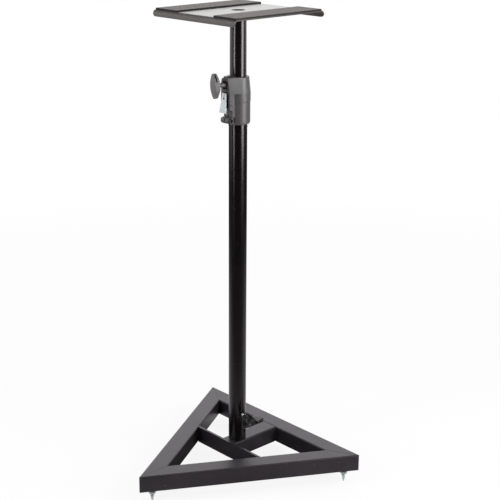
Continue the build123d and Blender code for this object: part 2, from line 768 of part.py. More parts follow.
def foot_bolt():
    nut_end = pole_radius + foot_nut_length
    nut = hexagon(m6_nut_flats, 0, nut_end) - cylinder(foot_bolt_thread / 2 + running_clearance, -1, nut_end + 1)
    nut -= Rot(0, 90, 0) * cylinder(pole_radius, -m6_nut_flats, m6_nut_flats)
    save(radial(nut, foot_bolt_height, foot_bolt_angle), "foot_weld_nut")

    stud_start = pole_bore - seat_clearance + running_clearance
    wing_start = nut_end + foot_wing_gap
    stud_end = wing_start + foot_wing_socket - running_clearance
    save(radial(cylinder(foot_bolt_thread / 2, stud_start, stud_end), foot_bolt_height, foot_bolt_angle),
         "foot_bolt_stud")

    handle = Pos(0, 0, wing_start) * Rot(0, 0, 90 + foot_wing_roll) * foot_handle()
    save(radial(handle, foot_bolt_height, foot_bolt_angle), "foot_bolt_wing")


base_frame()
spikes()
pole()
liner()
clutch_body()
clutch_bush()
clutch_screw()
clamp_screw()
latch()
mast()
platform()
foot_bolt()
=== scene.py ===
import math

import bmesh
import bpy
from mathutils import Matrix, Vector, noise


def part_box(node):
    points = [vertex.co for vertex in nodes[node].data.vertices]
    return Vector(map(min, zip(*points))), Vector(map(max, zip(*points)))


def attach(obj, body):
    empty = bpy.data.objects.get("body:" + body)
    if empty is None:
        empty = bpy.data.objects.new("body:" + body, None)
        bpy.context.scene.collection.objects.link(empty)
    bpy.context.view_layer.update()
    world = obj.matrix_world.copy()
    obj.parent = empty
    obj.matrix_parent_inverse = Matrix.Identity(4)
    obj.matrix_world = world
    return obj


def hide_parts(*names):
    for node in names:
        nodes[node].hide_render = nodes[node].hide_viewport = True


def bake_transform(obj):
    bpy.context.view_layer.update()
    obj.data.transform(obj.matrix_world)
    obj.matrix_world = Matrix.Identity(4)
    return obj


# Studio speaker stand: finishes, rubber pads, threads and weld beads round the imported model.

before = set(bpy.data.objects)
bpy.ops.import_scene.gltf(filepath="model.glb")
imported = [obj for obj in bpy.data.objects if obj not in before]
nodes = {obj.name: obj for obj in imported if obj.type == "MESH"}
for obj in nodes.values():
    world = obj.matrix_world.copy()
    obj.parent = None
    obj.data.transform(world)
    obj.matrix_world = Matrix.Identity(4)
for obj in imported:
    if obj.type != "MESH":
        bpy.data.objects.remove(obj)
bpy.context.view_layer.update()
scene = bpy.context.scene
print("frame loaded:", len(nodes), "nodes")

camera = {
    "azimuth": 47.487,       # degrees round the pole
    "distance": 2.29778,     # metres from the pole's axis
    "height": 1.21595,
    "pitch": 17.806,         # degrees downwards
    "yaw": 0.653,
    "roll": -0.06,
    "lens": 86.80,           # millimetres
    "sensor": 36,
    "shift": 0.0508,         # the object stands left of the lens's axis
    "near": 0.05,            # metres, nearest and farthest things seen
    "far": 60,
}


def placeCamera(look):
    around = math.radians(look["azimuth"])
    heading = around + math.radians(look["yaw"])
    down = math.radians(look["pitch"])
    roll = math.radians(look["roll"])
    forward = Vector((-math.sin(heading) * math.cos(down),
                      math.cos(heading) * math.cos(down),
                      -math.sin(down)))
    right = forward.cross(Vector((0, 0, 1))).normalized()
    up = right.cross(forward)
    tiltedRight = right * math.cos(roll) + up * math.sin(roll)
    tiltedUp = up * math.cos(roll) - right * math.sin(roll)
    eye = Vector((math.sin(around) * look["distance"],
                  -math.cos(around) * look["distance"],
                  look["height"]))
    data = bpy.data.cameras.new("camera")
    data.sensor_width = look["sensor"]
    data.lens = look["lens"]
    data.shift_x = look["shift"]
    data.clip_start = look["near"]
    data.clip_end = look["far"]
    obj = bpy.data.objects.new("camera", data)
    scene.collection.objects.link(obj)
    turn = Matrix((tiltedRight, tiltedUp, -forward)).transposed().to_4x4()
    obj.matrix_world = Matrix.Translation(eye) @ turn
    scene.camera = obj
    return forward


viewLine = placeCamera(camera)
scene.view_settings.view_transform = "Standard"
print("camera placed")


class Link:  # one output socket; sums on links add Math nodes
    def __init__(self, finish, socket):
        self.finish = finish
        self.socket = socket

    def work(self, operation, *terms):
        return self.finish.add("ShaderNodeMath", {"operation": operation}, terms)

    def __add__(self, other):
        return self.work("ADD", self, other)

    def __radd__(self, other):
        return self.work("ADD", other, self)

    def __sub__(self, other):
        return self.work("SUBTRACT", self, other)

    def __rsub__(self, other):
        return self.work("SUBTRACT", other, self)

    def __mul__(self, other):
        return self.work("MULTIPLY", self, other)

    def __rmul__(self, other):
        return self.work("MULTIPLY", other, self)


edgeFinding = {
    "samples": 4,
    "sharp": 0.80,           # how far true and rounded normals agree on a sharp edge
    "flat": 0.995,           # and on a flat face
}


class Finish:  # the nodes of one material or world; add() makes each of them
    def __init__(self, owner):
        owner.use_nodes = True
        self.owner = owner
        self.tree = owner.node_tree
        self.tree.nodes.clear()

    def add(self, kind, settings=None, values=(), out=0):
        node = self.tree.nodes.new(kind)
        for name, value in (settings or {}).items():
            setattr(node, name, value)
        pairs = values.items() if isinstance(values, dict) else enumerate(values)
        for key, value in pairs:
            if isinstance(value, Link):
                self.tree.links.new(value.socket, node.inputs[key])
            else:
                node.inputs[key].default_value = value
        return Link(self, node.outputs[out]) if node.outputs else node

    def place(self):
        return self.add("ShaderNodeTexCoord", out="Object")

    def noise(self, size, detail=2.0, rough=0.5, stretch=(1, 1, 1)):
        where = self.add("ShaderNodeMapping", None, {"Vector": self.place(), "Scale": stretch})
        values = {"Vector": where, "Scale": 1 / size, "Detail": detail, "Roughness": rough}
        return self.add("ShaderNodeTexNoise", None, values)

    def fit(self, value, low, high, toLow, toHigh):
        return self.add("ShaderNodeMapRange", {"clamp": True}, [value, low, high, toLow, toHigh])

    def dot(self, first, second):
        return self.add("ShaderNodeVectorMath", {"operation": "DOT_PRODUCT"}, [first, second],
                        out="Value")

    def blendColours(self, factor, first, second):
        values = {"Factor": factor, 6: first, 7: second}   # 6 and 7 are its two colours
        return self.add("ShaderNodeMix", {"data_type": "RGBA"}, values, out=2)

    def bump(self, height, strength, distance, under=None):
        values = {"Strength": strength, "Distance": distance, "Height": height}
        if under is not None:
            values["Normal"] = under
        return self.add("ShaderNodeBump", None, values)

    def edges(self, radius):
        # a rounded normal, and how near a point is to an edge
        soft = self.add("ShaderNodeBevel", {"samples": edgeFinding["samples"]}, [radius])
        true = self.add("ShaderNodeNewGeometry", out="Normal")
        agreement = self.dot(soft, true)
        return soft, self.fit(agreement, edgeFinding["sharp"], edgeFinding["flat"], 1.0, 0.0)

    def surface(self, values):
        shader = self.add("ShaderNodeBsdfPrincipled", None, values)
        self.add("ShaderNodeOutputMaterial", None, {"Surface": shader})
        return self.owner


def colour(level, tint=(1, 1, 1)):
    return (*(level * part for part in tint), 1)


framePaint = {
    "colour": 0.012,
    "tint": (1.04, 0.96, 1.05),
    "glossTint": (0.98, 0.84, 0.97, 1),
    "wornAndHighlight": 0.036,           # colour on rubbed edges: worn paint with a painted highlight
    "roughness": 0.40,
    "grainSize": 0.0012,     # metres, powder texture
    "grainDepth": 0.00007,
    "edge": 0.0009,
    "gloss": 0.5,
    "mottle": 1.0,           # how uneven the gloss is
    "chipped": 0.8,          # strength of the few pale nicks
    "streaked": False,
}
polePaint = {
    "colour": 0.0028,
    "tint": (1.10, 0.94, 0.98),
    "glossTint": (1.0, 0.93, 0.96, 1),
    "wornAndHighlight": 0.03,
    "roughness": 0.20,
    "grainSize": 0.0030,     # orange peel
    "grainDepth": 0.000006,
    "edge": 0.0004,
    "gloss": 0.5,
    "mottle": 0.8,
    "chipped": 0.2,
    "streaked": True,        # drawn lines along the tube
}
sheetPaint = {
    "colour": 0.020,
    "tint": (1.10, 1.0, 0.93),
    "glossTint": (1.0, 0.93, 0.89, 1),
    "wornAndHighlight": 0.06,
    "roughness": 0.33,
    "grainSize": 0.0026,
    "grainDepth": 0.000003,
    "edge": 0.0005,
    "gloss": 0.95,
    "mottle": 0.25,
    "chipped": 0.1,
    "streaked": False,
}
paintWearAndHighlight = {                # shared by the three paints; the rub keys give worn edges with a painted highlight
    "cloudSize": 0.035,      # metres, slow change of tone
    "cloudRange": (0.35, 0.65),
    "cloudRough": 0.10,      # what it adds to the roughness
    "darker": 0.86,          # shares of the colour that it changes between
    "lighter": 1.16,
    "fleckSize": 0.5,        # of the grain's size
    "fleckRange": (0.60, 0.72),
    "fleckRough": 0.05,
    "fleckTone": 1.7,        # of the colour
    "fleckStrength": 0.35,
    "rubSize": 0.006,        # metres, patches along the rubbed edges
    "rubRange": (0.42, 0.62),
    "rubAndHighlightLevels": (0.15, 0.9),    # wear and painted highlight outside and inside a patch
    "rubPolish": 0.06,       # what it takes off the roughness
    "rubAndHighlightStrength": 0.55,
    "chipSize": 0.005,
    "chipRange": (0.76, 0.80),
    "chipTone": 2.5,         # of the worn colour
    "streakSize": 0.0012,
    "streakStretch": (1, 1, 0.03),
    "streakRough": 0.06,
    "streakDepth": 0.25,     # of the grain's depth
    "relief": 0.5,
}


def makePaint(name, look):
    marks = paintWearAndHighlight
    f = Finish(bpy.data.materials.new(name))
    soft, nearEdge = f.edges(look["edge"])
    cloud = f.noise(marks["cloudSize"], 4, 0.6)
    fleck = f.noise(look["grainSize"] * marks["fleckSize"], 1, 0.4)
    patches = f.noise(marks["rubSize"], 3, 0.7)
    # rubbed edges turn lighter: real wear of the paint together with a painted highlight
    rubAndHighlight = nearEdge * f.fit(patches, *marks["rubRange"], *marks["rubAndHighlightLevels"])
    darker = colour(look["colour"] * marks["darker"], look["tint"])
    lighter = colour(look["colour"] * marks["lighter"], look["tint"])
    flecked = colour(look["colour"] * marks["fleckTone"], look["tint"])
    base = f.blendColours(f.fit(cloud, *marks["cloudRange"], 0, 1), darker, lighter)
    flecks = f.fit(fleck, *marks["fleckRange"], 0, marks["fleckStrength"])
    speckled = f.blendColours(flecks, base, flecked)
    nicks = f.noise(marks["chipSize"], 1, 0.3)
    chips = f.fit(nicks, *marks["chipRange"], 0, look["chipped"])
    marked = f.blendColours(chips, speckled, colour(look["wornAndHighlight"] * marks["chipTone"]))
    wornAndHighlight = colour(look["wornAndHighlight"], look["tint"])
    tone = f.blendColours(rubAndHighlight * marks["rubAndHighlightStrength"], marked, wornAndHighlight)
    height = f.noise(look["grainSize"], 3, 0.55)
    uneven = (cloud - 0.5) * marks["cloudRough"] + (fleck - 0.5) * marks["fleckRough"]
    rough = look["roughness"] + uneven * look["mottle"] - rubAndHighlight * marks["rubPolish"]
    if look["streaked"]:
        lines = f.noise(marks["streakSize"], 2, 0.5, marks["streakStretch"])
        height = height + lines * marks["streakDepth"]
        rough = rough + (lines - 0.5) * marks["streakRough"]
    shaped = f.bump(height, marks["relief"], look["grainDepth"], soft)
    return f.surface({"Base Color": tone, "Roughness": rough, "Normal": shaped,
                      "Specular IOR Level": look["gloss"], "Specular Tint": look["glossTint"]})


mouldedBody = {
    "colour": 0.046,
    "tint": (1.05, 0.97, 1.01),
    "roughness": 0.45,
    "grainSize": 0.0009,
    "grainDepth": 0.00010,
    "edge": 0.0008,
    "rimHighlight": 0.10,             # painted highlight colour on the edges
    "gloss": 0.85,
}
mouldedWing = {
    "colour": 0.075,
    "tint": (1.05, 0.97, 1.01),
    "roughness": 0.36,
    "grainSize": 0.0008,
    "grainDepth": 0.00008,
    "edge": 0.0007,
    "rimHighlight": 0.12,
    "gloss": 1.0,
}
mouldedFoot = {
    "colour": 0.005,
    "tint": (1.05, 0.95, 1.03),
    "roughness": 0.26,
    "grainSize": 0.0007,
    "grainDepth": 0.00003,
    "edge": 0.0008,
    "rimHighlight": 0.26,
    "gloss": 0.5,
}
paleGuide = {
    "colour": 0.55,
    "tint": (1, 1, 0.98),
    "roughness": 0.42,
    "grainSize": 0.0010,
    "grainDepth": 0.00004,
    "edge": 0.0003,
    "rimHighlight": 0.62,
    "gloss": 0.5,
}
mouldFlow = {                # cloudy marks that the moulding leaves, and the painted highlight on edges
    "size": 0.018,
    "stretch": (1, 1, 0.35),
    "range": (0.35, 0.65),
    "darker": 0.88,
    "lighter": 1.12,
    "rough": 0.12,           # what they add to the roughness
    "sparkRough": 0.10,
    "sparkRange": (0.3, 0.7),
    "rimHighlightLevels": (0.35, 0.75),   # least and most painted highlight on an edge
    "relief": 0.6,
}


def makePlastic(name, look):
    f = Finish(bpy.data.materials.new(name))
    soft, nearEdge = f.edges(look["edge"])
    spark = f.noise(look["grainSize"], 2, 0.5)
    flow = f.noise(mouldFlow["size"], 3, 0.6, mouldFlow["stretch"])
    darker = colour(look["colour"] * mouldFlow["darker"], look["tint"])
    lighter = colour(look["colour"] * mouldFlow["lighter"], look["tint"])
    base = f.blendColours(f.fit(flow, *mouldFlow["range"], 0, 1), darker, lighter)
    # painted highlight on the edges, patchy with the grain
    rimHighlight = nearEdge * f.fit(spark, *mouldFlow["sparkRange"], *mouldFlow["rimHighlightLevels"])
    tone = f.blendColours(rimHighlight, base, colour(look["rimHighlight"], look["tint"]))
    uneven = (flow - 0.5) * mouldFlow["rough"]
    rough = look["roughness"] + uneven + (spark - 0.5) * mouldFlow["sparkRough"]
    shaped = f.bump(spark, mouldFlow["relief"], look["grainDepth"], soft)
    return f.surface({"Base Color": tone, "Roughness": rough, "Normal": shaped,
                      "Specular IOR Level": look["gloss"]})


zincPlate = {
    "colour": (0.56, 0.60, 0.62, 1),
    "dull": (0.45, 0.48, 0.495, 1),
    "metallic": 1.0,
    "roughness": 0.42,
    "edge": 0.0003,
}
blackSteel = {
    "colour": (0.035, 0.035, 0.037, 1),
    "dull": (0.06, 0.058, 0.055, 1),
    "metallic": 0.6,
    "roughness": 0.38,
    "edge": 0.0004,
}
springSteel = {
    "colour": (0.16, 0.155, 0.15, 1),
    "dull": (0.09, 0.085, 0.08, 1),
    "metallic": 1.0,
    "roughness": 0.34,
    "edge": 0.0002,
}
turnedBrass = {
    "colour": (0.66, 0.48, 0.20, 1),
    "dull": (0.45, 0.31, 0.13, 1),
    "metallic": 1.0,
    "roughness": 0.28,
    "edge": 0.0003,
}
castAluminium = {
    "colour": (0.58, 0.58, 0.59, 1),
    "dull": (0.42, 0.42, 0.42, 1),
    "metallic": 1.0,
    "roughness": 0.40,
    "edge": 0.0004,
}
metalGrain = {
    "bloomSize": 0.004,      # metres, dull patches
    "bloomRange": (0.38, 0.66),
    "bloomStrength": 0.75,
    "bloomRough": 0.18,      # what they add to the roughness
    "brushSize": 0.0004,
    "brushStretch": (1, 1, 0.25),
    "brushRough": 0.10,
    "brushDepth": 0.00003,
    "rubPolish": 0.05,       # what a rubbed edge takes off the roughness
    "relief": 0.35,
}


def makeMetal(name, look):
    grain = metalGrain
    f = Finish(bpy.data.materials.new(name))
    soft, nearEdge = f.edges(look["edge"])
    bloom = f.noise(grain["bloomSize"], 4, 0.6)
    fine = f.noise(grain["brushSize"], 2, 0.5, grain["brushStretch"])
    dulled = f.fit(bloom, *grain["bloomRange"], 0, grain["bloomStrength"])
    tone = f.blendColours(dulled, look["colour"], look["dull"])
    uneven = (bloom - 0.5) * grain["bloomRough"]
    rough = look["roughness"] + uneven + (fine - 0.5) * grain["brushRough"]
    rough = rough - nearEdge * grain["rubPolish"]
    shaped = f.bump(fine, grain["relief"], grain["brushDepth"], soft)
    return f.surface({"Base Color": tone, "Metallic": look["metallic"], "Roughness": rough,
                      "Normal": shaped})


padRubber = {
    "colour": (0.125, 0.110, 0.104, 1),
    "dark": (0.092, 0.080, 0.075, 1),
    "side": (0.008, 0.007, 0.007, 1),    # painted shade on the cut sides
    "roughness": 0.74,
    "ribPitch": 0.0021,
    "ribStretch": (1, 0.02, 1),
    "ribHeight": 0.7,
    "cellSize": 0.0006,
    "cellSoftness": 0.6,
    "cellHeight": 0.6,
    "cellRough": 0.08,       # what the cells add to the roughness
    "cloudSize": 0.02,
    "cloudRough": 0.12,
    "mixRange": (0.38, 0.62),    # of clouds and ribs, between dark and colour
    "shadeFrom": (0.55, 0.9),      # painted shade by how far a face looks up, from the dark cut side to the lit top
    "grainDepth": 0.00012,
    "relief": 0.5,
}


def makeRubber(name, look):
    f = Finish(bpy.data.materials.new(name))
    cells = f.add("ShaderNodeTexVoronoi", {"feature": "SMOOTH_F1"},
                  {"Vector": f.place(), "Scale": 1 / look["cellSize"],
                   "Smoothness": look["cellSoftness"]})
    lines = f.noise(look["ribPitch"], 2, 0.5, look["ribStretch"])
    cloud = f.noise(look["cloudSize"], 3, 0.6)
    mixture = f.fit(cloud * 0.5 + lines * 0.5, *look["mixRange"], 0, 1)
    top = f.blendColours(mixture, look["dark"], look["colour"])
    # painted shade: the cut sides are darkened as the faces turn away from the top
    upward = f.dot(f.add("ShaderNodeNewGeometry", out="Normal"), (0, 0, 1))
    tone = f.blendColours(f.fit(upward, *look["shadeFrom"], 0, 1), look["side"], top)
    uneven = (cloud - 0.5) * look["cloudRough"]
    rough = look["roughness"] + uneven + (cells - 0.5) * look["cellRough"]
    height = cells * look["cellHeight"] + lines * look["ribHeight"]
    shaped = f.bump(height, look["relief"], look["grainDepth"])
    return f.surface({"Base Color": tone, "Roughness": rough, "Normal": shaped})


finishes = {
    "framePaint": makePaint("framePaint", framePaint),
    "polePaint": makePaint("polePaint", polePaint),
    "sheetPaint": makePaint("sheetPaint", sheetPaint),
    "clutchPlastic": makePlastic("clutchPlastic", mouldedBody),
    "wingPlastic": makePlastic("wingPlastic", mouldedWing),
    "footPlastic": makePlastic("footPlastic", mouldedFoot),
    "guidePlastic": makePlastic("guidePlastic", paleGuide),
    "zincPlate": makeMetal("zincPlate", zincPlate),
    "blackSteel": makeMetal("blackSteel", blackSteel),
    "springSteel": makeMetal("springSteel", springSteel),
    "turnedBrass": makeMetal("turnedBrass", turnedBrass),
    "castAluminium": makeMetal("castAluminium", castAluminium),
    "padRubber": makeRubber("padRubber", padRubber),
}
print("finishes made:", len(finishes))

nodeFinish = {
    "framePaint": ["base_rail_back", "base_rail_left", "base_rail_right", "base_crossbar",
                   "base_stem_tube", "base_stub"],
    "polePaint": ["pole", "mast", "foot_weld_nut"],
    "sheetPaint": ["platform_plate"],
    "clutchPlastic": ["clutch_body"],
    "wingPlastic": ["clutch_wing", "mast_top_plug"],
    "footPlastic": ["foot_bolt_wing"],
    "guidePlastic": ["pole_liner", "clutch_bush", "clutch_pressure_pad", "mast_guide"],
    "zincPlate": ["foot_bolt_stud", "clutch_stud", "clamp_nut", "latch_lever",
                  "platform_washer", "spike_apex", "spike_left", "spike_right",
                  "spike_jam_nuts"],
    "blackSteel": ["spike_weld_nuts", "clamp_screw", "liner_rivets", "platform_bolt",
                   "latch_pivot_pin"],
    "springSteel": ["latch_spring", "latch_pin"],
    "turnedBrass": ["clutch_insert"],
    "castAluminium": ["platform_hub"],
    "padRubber": ["platform_pad_left", "platform_pad_right"],
}
for finishName, names in nodeFinish.items():
    for name in names:
        for slot in nodes[name].material_slots:
            slot.material = finishes[finishName]
print("finishes applied")


def makePiece(name, points, faces, finishName, body):
    mesh = bpy.data.meshes.new(name)
    mesh.from_pydata([tuple(p) for p in points], [], faces)
    work = bmesh.new()
    work.from_mesh(mesh)
    bmesh.ops.recalc_face_normals(work, faces=work.faces)
    work.to_mesh(mesh)
    work.free()
    mesh.polygons.foreach_set("use_smooth", [True] * len(mesh.polygons))
    mesh.materials.append(finishes[finishName])
    obj = bpy.data.objects.new(name, mesh)
    scene.collection.objects.link(obj)
    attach(obj, body)
    return obj


def skin(rows, columns):  # faces over rings of points, with a cap at each end
    faces = []
    for i in range(rows - 1):
        low = i * columns
        high = low + columns
        for j in range(columns):
            k = (j + 1) % columns
            faces.append((low + j, low + k, high + k, high + j))
    faces.append(tuple(reversed(range(columns))))
    faces.append(tuple(range((rows - 1) * columns, rows * columns)))
    return faces


def sharpen(obj, degrees):
    mesh = obj.data
    work = bmesh.new()
    work.from_mesh(mesh)
    limit = math.radians(degrees)
    for edge in work.edges:
        if len(edge.link_faces) == 2 and edge.calc_face_angle() > limit:
            edge.smooth = False
    work.to_mesh(mesh)
    work.free()


threads = {
    "columns": 40,
    "stepsPerTurn": 12,
    "depthShare": 0.58,      # of the pitch
    "flank": 2.6,            # steepness of the tooth's sides
    "crest": 0.15,           # flat on its top
    "runOut": 1.2,           # turns over which the thread begins and ends
    "leadDepth": 0.8,        # how far the ends are turned down, of the depth
    "sharpAngle": 50,
}


def makeTurned(name, start, direction, length, radiusAt, step, finishName, body, node):
    axis = Vector(direction).normalized()
    side = axis.orthogonal().normalized()
    other = axis.cross(side)
    count = threads["columns"]
    rows = max(2, round(length / step) + 1)
    points = []
    for i in range(rows):
        along = length * i / (rows - 1)
        for j in range(count):
            turn = 2 * math.pi * j / count
            outward = side * math.cos(turn) + other * math.sin(turn)
            points.append(Vector(start) + axis * along + outward * radiusAt(along, turn))
    obj = makePiece(name, points, skin(rows, count), finishName, body)
    sharpen(obj, threads["sharpAngle"])
    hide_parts(node)


def threadRadius(radius, pitch, length):
    depth = pitch * threads["depthShare"]
    runOut = pitch * threads["runOut"]

    def at(along, turn):
        phase = (along / pitch - turn / (2 * math.pi)) % 1
        tooth = min(1, max(0, abs(phase - 0.5) * threads["flank"] - threads["crest"]))
        lead = min(1, along / runOut, (length - along) / runOut)
        crest = radius - depth * (1 - lead) * threads["leadDepth"]
        return crest - depth * tooth * max(lead, 0)
    return at


def measureNode(node, direction):
    axis = Vector(direction).normalized()
    points = [v.co.copy() for v in nodes[node].data.vertices]
    along = [p.dot(axis) for p in points]
    middle = sum(points, Vector()) / len(points)
    middle -= axis * middle.dot(axis)
    radius = max((p - axis * p.dot(axis) - middle).length for p in points)
    return middle + axis * min(along), max(along) - min(along), radius


footAngle = math.radians(-14)    # heading of the foot bolt
studs = {
    "clutchStudThread": {
        "node": "clutch_stud",
        "body": "clutch_stud",
        "direction": (0, -1, 0),
        "pitch": 0.001,
    },
    "footStudThread": {
        "node": "foot_bolt_stud",
        "body": "foot_stud",
        "direction": (math.cos(footAngle), math.sin(footAngle), 0),
        "pitch": 0.001,
    },
}
for name, stud in studs.items():
    start, length, radius = measureNode(stud["node"], stud["direction"])
    step = stud["pitch"] / threads["stepsPerTurn"]
    makeTurned(name, start, stud["direction"], length,
               threadRadius(radius, stud["pitch"], length),
               step, "zincPlate", stud["body"], stud["node"])

spikes = {
    "coneHeight": 0.014,
    "tipRadius": 0.0008,
    "swell": 0.94,           # under 1 rounds the cone outwards
    "pitch": 0.00125,
    "ringDepth": 0.00002,    # fine turning marks on the cone
    "ringPitch": 0.0006,
    "ringFade": 0.002,       # metres over which they begin at the tip
}
for corner in ("apex", "left", "right"):
    node = "spike_" + corner
    start, length, radius = measureNode(node, (0, 0, 1))
    cone = spikes["coneHeight"]
    thread = threadRadius(radius, spikes["pitch"], length - cone)

    def spikeRadius(along, turn, cone=cone, radius=radius, thread=thread):
        if along >= cone:
            return thread(along - cone, turn)
        swell = (along / cone) ** spikes["swell"]
        ring = math.sin(along / spikes["ringPitch"] * 2 * math.pi)
        ring *= spikes["ringDepth"] * min(1, along / spikes["ringFade"])
        return spikes["tipRadius"] + (radius - spikes["tipRadius"]) * swell + ring

    step = spikes["pitch"] / threads["stepsPerTurn"]
    makeTurned("spikeTurned_" + corner, start, (0, 0, 1), length, spikeRadius,
               step, "zincPlate", node, node)
print("threads cut")

# Latch spring: the imported spring's mesh, copied and baked in place.
springWire = bpy.data.objects.new("latchSpringWire", nodes["latch_spring"].data.copy())
scene.collection.objects.link(springWire)
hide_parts("latch_spring")
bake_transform(springWire)
print("latch spring fitted")

pads = {
    "cornerRadius": 0.0012,
    "leastRadius": 0.0002,   # of the corners on the inner rings
    "edgeRadius": 0.0007,
    "roundSteps": 4,         # faces round a corner or an edge
    "sidePull": 0.00025,     # the cut sides draw in a little between the corners
    "pullLevels": (0.7, 0.3),    # steady and uneven share of it
    "pullWave": 9,           # how fast it varies along a side
    "rise": 0.00010,         # soft unevenness of the top
    "riseWave": (60, 25),    # waves in a metre, across and along
    "sink": 0.6,             # keeps the top inside the pad's height
    "crown": (0.004, 0.010, 0.018, 0.026),    # metres from the edge to each inner ring
    "cell": 0.004,
    "sharpAngle": 60,
}


def makePad(name, node, body):
    low, high = (Vector(c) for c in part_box(node))
    size = high - low
    countX = max(4, round(size.x / pads["cell"]))
    countY = max(4, round(size.y / pads["cell"]))
    steps = pads["roundSteps"]
    steady, uneven = pads["pullLevels"]
    work = bmesh.new()

    def outline(inset):
        ring = []
        r = max(pads["cornerRadius"] - inset, pads["leastRadius"])
        left, right = low.x + inset + r, high.x - inset - r
        front, back = low.y + inset + r, high.y - inset - r
        corners = [(right, back, 0), (left, back, 90), (left, front, 180), (right, front, 270)]
        runs = [countX, countY, countX, countY]
        for index, (cx, cy, begin) in enumerate(corners):
            for k in range(steps + 1):
                t = math.radians(begin + 90 * k / steps)
                ring.append((cx + r * math.cos(t), cy + r * math.sin(t)))
            nx, ny, _ = corners[(index + 1) % 4]
            t = math.radians(begin + 90)
            first = (cx + r * math.cos(t), cy + r * math.sin(t))
            last = (nx + r * math.cos(t), ny + r * math.sin(t))
            for k in range(1, runs[index]):
                share = k / runs[index]
                wave = steady + uneven * noise.noise((share * pads["pullWave"], index, 0))
                pull = pads["sidePull"] * math.sin(math.pi * share) * wave
                x = first[0] + (last[0] - first[0]) * share - math.cos(t) * pull
                y = first[1] + (last[1] - first[1]) * share - math.sin(t) * pull
                ring.append((x, y))
        return ring

    def join(lower, upper):
        for j in range(len(lower)):
            k = (j + 1) % len(lower)
            work.faces.new((lower[j], lower[k], upper[k], upper[j]))

    edge = pads["edgeRadius"]
    levels = [(0.0, low.z), (0.0, low.z + (size.z - edge) * 0.5), (0.0, high.z - edge)]
    for k in range(1, steps + 1):
        t = math.pi / 2 * k / steps
        levels.append((edge * (1 - math.cos(t)), high.z - edge + edge * math.sin(t)))
    loops = []
    for inset, z in levels:
        loops.append([work.verts.new((x, y, z)) for x, y in outline(inset)])
    for lower, upper in zip(loops, loops[1:]):
        join(lower, upper)
    work.faces.new(list(reversed(loops[0])))
    crown = loops[-1]
    waveX, waveY = pads["riseWave"]
    for inset in pads["crown"]:
        inner = []
        for x, y in outline(inset):
            rise = noise.noise((x * waveX, y * waveY, 0)) - pads["sink"]
            inner.append(work.verts.new((x, y, high.z + pads["rise"] * rise)))
        join(crown, inner)
        crown = inner
    work.faces.new(crown)
    bmesh.ops.recalc_face_normals(work, faces=work.faces)
    mesh = bpy.data.meshes.new(name)
    work.to_mesh(mesh)
    work.free()
    mesh.polygons.foreach_set("use_smooth", [True] * len(mesh.polygons))
    mesh.materials.append(finishes["padRubber"])
    obj = bpy.data.objects.new(name, mesh)
    scene.collection.objects.link(obj)
    sharpen(obj, pads["sharpAngle"])
    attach(obj, body)
    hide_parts(node)


makePad("padLeft", "platform_pad_left", "mast")
makePad("padRight", "platform_pad_right", "mast")
print("pads made")

welds = {
    "width": 0.0050,
    "height": 0.62,          # of half the width
    "inset": 0.004,          # metres that a bead stops short of a rail's edges
    "rippleLength": 0.0021,
    "rippleDepth": 0.14,
    "endTaper": 1.6,         # how fast the ends swell to full width
    "endBlunt": 0.02,
    "wander": 0.10,
    "wanderWave": (140, 9),  # waves in a metre along the bead, and from bead to bead
    "columns": 12,
    "step": 0.0005,
}
seams = {                    # mitres of the rails, ground nearly flat
    "outer": 0.2580,         # metres from the pole's axis
    "inner": 0.1900,
    "width": 0.0016,
    "height": 0.22,
    "lift": -0.00005,
}


def makeBead(name, start, end, outward, width, height):
    start, end = Vector(start), Vector(end)
    total = (end - start).length
    rows = max(4, round(total / welds["step"]))
    count = welds["columns"]
    tangent = (end - start).normalized()
    out = Vector(outward)
    out = (out - tangent * out.dot(tangent)).normalized()
    across = tangent.cross(out)
    wave, spread = welds["wanderWave"]
    points = []
    for i in range(rows + 1):
        along = total * i / rows
        centre = start.lerp(end, along / total)
        ripple = 1 - welds["rippleDepth"] * ((along / welds["rippleLength"]) % 1)
        nearest = max(min(along, total - along), 0)
        swell = min(1, math.sqrt(nearest / width * welds["endTaper"] + welds["endBlunt"]))
        drift = noise.noise((along * wave, centre.x * spread, centre.z * spread))
        wander = 1 + welds["wander"] * drift
        half = width / 2 * swell * wander
        for j in range(count):
            turn = 2 * math.pi * j / count
            rise = out * math.sin(turn) * half * height * ripple
            points.append(centre + across * math.cos(turn) * half + rise)
    obj = makePiece(name, points, skin(rows + 1, count), "framePaint", "base")


crossLow, crossHigh = (Vector(c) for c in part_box("base_crossbar"))
stemLow, stemHigh = (Vector(c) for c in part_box("base_stem_tube"))
endSlope = math.tan(math.radians(30))    # the crossbar's ends follow the side rails
for side, hand in ((-1, "left"), (1, "right")):
    stemEdge = stemHigh.x * side
    backTip = crossHigh.x * side
    frontTip = backTip - side * (crossHigh.y - crossLow.y) * endSlope
    beads = {
        "weldStemSide_": (stemEdge, stemHigh.y, stemLow.z, stemHigh.z, (side, -1, 0)),
        "weldBarStem_": (stemEdge, crossHigh.y, stemLow.z, stemHigh.z, (side, 1, 0)),
        "weldBarBack_": (backTip, crossHigh.y, crossLow.z, crossHigh.z, (-side * 0.6, 1, 0)),
        "weldBarFront_": (frontTip, crossLow.y, crossLow.z, crossHigh.z, (-side * 0.9, -0.5, 0)),
    }
    for name, (x, y, bottom, top, outward) in beads.items():
        makeBead(name + hand, (x, y, bottom + welds["inset"]), (x, y, top - welds["inset"]),
                 outward, welds["width"], welds["height"])

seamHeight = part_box("base_rail_back")[1][2] + seams["lift"]
for index, degrees in enumerate((-90, 30, 150)):
    corner = math.radians(degrees)
    heading = Vector((math.cos(corner), math.sin(corner), 0))
    outer = heading * seams["outer"]
    inner = heading * seams["inner"]
    outer.z = inner.z = seamHeight
    makeBead(f"weldSeam_{index}", inner, outer, (0, 0, 1), seams["width"], seams["height"])
print("weld beads laid")

